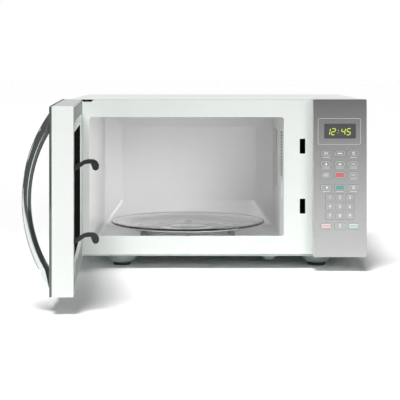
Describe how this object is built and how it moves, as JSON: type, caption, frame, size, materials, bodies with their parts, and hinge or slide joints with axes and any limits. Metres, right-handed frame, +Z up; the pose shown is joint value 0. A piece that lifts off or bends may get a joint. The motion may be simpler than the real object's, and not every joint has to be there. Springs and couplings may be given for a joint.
{
  "type": "microwave oven",
  "caption": "Countertop microwave oven with a side-hinged door, curved handle, glass turntable and a keypad panel with a display.",
  "frame": {"origin": "middle of the footprint at floor level, with the door open as stored", "axes": "+X to the control panel's side, -Y out of the front, +Z up"},
  "size_m": [0.5062, 0.7598, 0.277],
  "materials": {
    "case_paint": "semi-gloss white powder coat",
    "zinc_sheet": "zinc-coated sheet",
    "black_plastic": "satin black",
    "cavity_enamel": "satin pale grey enamel",
    "mica": "pressed mica sheet",
    "lamp_glass": "clear bulb",
    "white_plastic": "smooth white moulding",
    "silver_fascia": "brushed silver film",
    "display_glass": "dark tinted window",
    "circuit_board": "solder-masked board",
    "core_steel": "varnished laminations",
    "can_aluminium": "drawn can",
    "rubber": "matte",
    "door_glass": "mirror-tinted front glass",
    "choke_plastic": "mid-grey moulding",
    "chrome": "bright plated",
    "spring_steel": "drawn wire",
    "tray_glass": "clear pressed glass",
    "coupler_plastic": "natural heat-resistant moulding",
    "key_pad": "silver film pad",
    "red_pad": "red film pad",
    "teal_pad": "teal film pad"
  },
  "bodies": {
    "cabinet": {"outer_case": "case_paint", "front_plate": "case_paint", "back_panel": "zinc_sheet", "base_plate": "zinc_sheet", "cord_gland": "black_plastic", "cavity_liner": "cavity_enamel", "waveguide_cover": "mica", "cavity_lamp": "lamp_glass", "panel_housing": "white_plastic", "panel_fascia": "silver_fascia", "display_lens": "display_glass", "control_board": "circuit_board", "hinge_upper": "zinc_sheet", "hinge_lower": "zinc_sheet", "interlock_bracket": "black_plastic", "magnetron": "zinc_sheet", "transformer": "core_steel", "capacitor": "can_aluminium", "fan_motor": "core_steel", "turntable_motor": "zinc_sheet", "foot_front_left": "rubber", "foot_front_right": "rubber"},
    "door": {"door_frame": "white_plastic", "door_glass": "door_glass", "door_screen": "case_paint", "choke_cover": "choke_plastic", "door_handle": "chrome", "latch_spring": "spring_steel"},
    "latch": {"latch_hooks": "black_plastic"},
    "turntable": {"turntable_tray": "tray_glass", "drive_coupler": "coupler_plastic"},
    "roller_ring": {"roller_ring": "coupler_plastic"},
    "wheel_1": {"roller_wheel_1": "coupler_plastic"},
    "wheel_2": {"roller_wheel_2": "coupler_plastic"},
    "wheel_3": {"roller_wheel_3": "coupler_plastic"},
    "fan": {"fan_blade": "black_plastic"},
    "key_program_1": {"key_program_1": "key_pad"},
    "key_program_2": {"key_program_2": "key_pad"},
    "key_program_3": {"key_program_3": "key_pad"},
    "key_program_4": {"key_program_4": "key_pad"},
    "key_program_5": {"key_program_5": "key_pad"},
    "key_program_6": {"key_program_6": "key_pad"},
    "key_program_7": {"key_program_7": "key_pad"},
    "key_program_8": {"key_program_8": "red_pad"},
    "key_program_9": {"key_program_9": "key_pad"},
    "key_program_10": {"key_program_10": "key_pad"},
    "key_program_11": {"key_program_11": "teal_pad"},
    "key_program_12": {"key_program_12": "key_pad"},
    "key_1": {"key_1": "key_pad"},
    "key_2": {"key_2": "key_pad"},
    "key_3": {"key_3": "key_pad"},
    "key_4": {"key_4": "key_pad"},
    "key_5": {"key_5": "key_pad"},
    "key_6": {"key_6": "key_pad"},
    "key_7": {"key_7": "key_pad"},
    "key_8": {"key_8": "key_pad"},
    "key_9": {"key_9": "key_pad"},
    "key_stop": {"key_stop": "key_pad"},
    "key_0": {"key_0": "key_pad"},
    "key_start": {"key_start": "key_pad"}
  },
  "joints": [
    {"name": "door_hinge", "type": "hinge", "parent": "cabinet", "child": "door", "pos_m": [-0.21991, 0.0069, 0.1505], "axis": [0, 0, 1], "range_deg": [-18.6, 86.4]},
    {"name": "latch_slide", "type": "slide", "parent": "door", "child": "latch", "axis": [0, 0, 1], "range_m": [0, 0.0035], "stiffness_N_per_m": 250, "springref_m": -0.004, "deforming": ["latch_spring"]},
    {"name": "turntable_spin", "type": "hinge", "parent": "cabinet", "child": "turntable", "pos_m": [-0.03671, 0.1979, 0.045], "axis": [0, 0, 1], "continuous": true},
    {"name": "roller_ring_spin", "type": "hinge", "parent": "cabinet", "child": "roller_ring", "pos_m": [-0.03671, 0.1979, 0.03795], "axis": [0, 0, 1], "continuous": true},
    {"name": "wheel_1_spin", "type": "hinge", "parent": "roller_ring", "child": "wheel_1", "pos_m": [-0.03671, 0.2864, 0.03795], "axis": [0, 1, 0], "continuous": true},
    {"name": "wheel_2_spin", "type": "hinge", "parent": "roller_ring", "child": "wheel_2", "pos_m": [-0.11335, 0.15365, 0.03795], "axis": [-0.866, -0.5, 0], "continuous": true},
    {"name": "wheel_3_spin", "type": "hinge", "parent": "roller_ring", "child": "wheel_3", "pos_m": [0.03993, 0.15365, 0.03795], "axis": [0.866, -0.5, 0], "continuous": true},
    {"name": "fan_spin", "type": "hinge", "parent": "cabinet", "child": "fan", "pos_m": [0.18859, 0.3416, 0.16], "axis": [0, 1, 0], "continuous": true},
    {"name": "key_program_1_press", "type": "slide", "parent": "cabinet", "child": "key_program_1", "axis": [0, 1, 0], "range_m": [0, 0.0005], "stiffness_N_per_m": 900, "springref_m": -0.0005},
    {"name": "key_program_2_press", "type": "slide", "parent": "cabinet", "child": "key_program_2", "axis": [0, 1, 0], "range_m": [0, 0.0005], "stiffness_N_per_m": 900, "springref_m": -0.0005},
    {"name": "key_program_3_press", "type": "slide", "parent": "cabinet", "child": "key_program_3", "axis": [0, 1, 0], "range_m": [0, 0.0005], "stiffness_N_per_m": 900, "springref_m": -0.0005},
    {"name": "key_program_4_press", "type": "slide", "parent": "cabinet", "child": "key_program_4", "axis": [0, 1, 0], "range_m": [0, 0.0005], "stiffness_N_per_m": 900, "springref_m": -0.0005},
    {"name": "key_program_5_press", "type": "slide", "parent": "cabinet", "child": "key_program_5", "axis": [0, 1, 0], "range_m": [0, 0.0005], "stiffness_N_per_m": 900, "springref_m": -0.0005},
    {"name": "key_program_6_press", "type": "slide", "parent": "cabinet", "child": "key_program_6", "axis": [0, 1, 0], "range_m": [0, 0.0005], "stiffness_N_per_m": 900, "springref_m": -0.0005},
    {"name": "key_program_7_press", "type": "slide", "parent": "cabinet", "child": "key_program_7", "axis": [0, 1, 0], "range_m": [0, 0.0005], "stiffness_N_per_m": 900, "springref_m": -0.0005},
    {"name": "key_program_8_press", "type": "slide", "parent": "cabinet", "child": "key_program_8", "axis": [0, 1, 0], "range_m": [0, 0.0005], "stiffness_N_per_m": 900, "springref_m": -0.0005},
    {"name": "key_program_9_press", "type": "slide", "parent": "cabinet", "child": "key_program_9", "axis": [0, 1, 0], "range_m": [0, 0.0005], "stiffness_N_per_m": 900, "springref_m": -0.0005},
    {"name": "key_program_10_press", "type": "slide", "parent": "cabinet", "child": "key_program_10", "axis": [0, 1, 0], "range_m": [0, 0.0005], "stiffness_N_per_m": 900, "springref_m": -0.0005},
    {"name": "key_program_11_press", "type": "slide", "parent": "cabinet", "child": "key_program_11", "axis": [0, 1, 0], "range_m": [0, 0.0005], "stiffness_N_per_m": 900, "springref_m": -0.0005},
    {"name": "key_program_12_press", "type": "slide", "parent": "cabinet", "child": "key_program_12", "axis": [0, 1, 0], "range_m": [0, 0.0005], "stiffness_N_per_m": 900, "springref_m": -0.0005},
    {"name": "key_1_press", "type": "slide", "parent": "cabinet", "child": "key_1", "axis": [0, 1, 0], "range_m": [0, 0.0005], "stiffness_N_per_m": 900, "springref_m": -0.0005},
    {"name": "key_2_press", "type": "slide", "parent": "cabinet", "child": "key_2", "axis": [0, 1, 0], "range_m": [0, 0.0005], "stiffness_N_per_m": 900, "springref_m": -0.0005},
    {"name": "key_3_press", "type": "slide", "parent": "cabinet", "child": "key_3", "axis": [0, 1, 0], "range_m": [0, 0.0005], "stiffness_N_per_m": 900, "springref_m": -0.0005},
    {"name": "key_4_press", "type": "slide", "parent": "cabinet", "child": "key_4", "axis": [0, 1, 0], "range_m": [0, 0.0005], "stiffness_N_per_m": 900, "springref_m": -0.0005},
    {"name": "key_5_press", "type": "slide", "parent": "cabinet", "child": "key_5", "axis": [0, 1, 0], "range_m": [0, 0.0005], "stiffness_N_per_m": 900, "springref_m": -0.0005},
    {"name": "key_6_press", "type": "slide", "parent": "cabinet", "child": "key_6", "axis": [0, 1, 0], "range_m": [0, 0.0005], "stiffness_N_per_m": 900, "springref_m": -0.0005},
    {"name": "key_7_press", "type": "slide", "parent": "cabinet", "child": "key_7", "axis": [0, 1, 0], "range_m": [0, 0.0005], "stiffness_N_per_m": 900, "springref_m": -0.0005},
    {"name": "key_8_press", "type": "slide", "parent": "cabinet", "child": "key_8", "axis": [0, 1, 0], "range_m": [0, 0.0005], "stiffness_N_per_m": 900, "springref_m": -0.0005},
    {"name": "key_9_press", "type": "slide", "parent": "cabinet", "child": "key_9", "axis": [0, 1, 0], "range_m": [0, 0.0005], "stiffness_N_per_m": 900, "springref_m": -0.0005},
    {"name": "key_stop_press", "type": "slide", "parent": "cabinet", "child": "key_stop", "axis": [0, 1, 0], "range_m": [0, 0.0005], "stiffness_N_per_m": 900, "springref_m": -0.0005},
    {"name": "key_0_press", "type": "slide", "parent": "cabinet", "child": "key_0", "axis": [0, 1, 0], "range_m": [0, 0.0005], "stiffness_N_per_m": 900, "springref_m": -0.0005},
    {"name": "key_start_press", "type": "slide", "parent": "cabinet", "child": "key_start", "axis": [0, 1, 0], "range_m": [0, 0.0005], "stiffness_N_per_m": 900, "springref_m": -0.0005}
  ],
  "couplings": [
    {"joint": "roller_ring_spin", "follows": "turntable_spin", "ratio": 0.5},
    {"joint": "wheel_1_spin", "follows": "turntable_spin", "ratio": -6.6541},
    {"joint": "wheel_2_spin", "follows": "turntable_spin", "ratio": -6.6541},
    {"joint": "wheel_3_spin", "follows": "turntable_spin", "ratio": -6.6541}
  ]
}
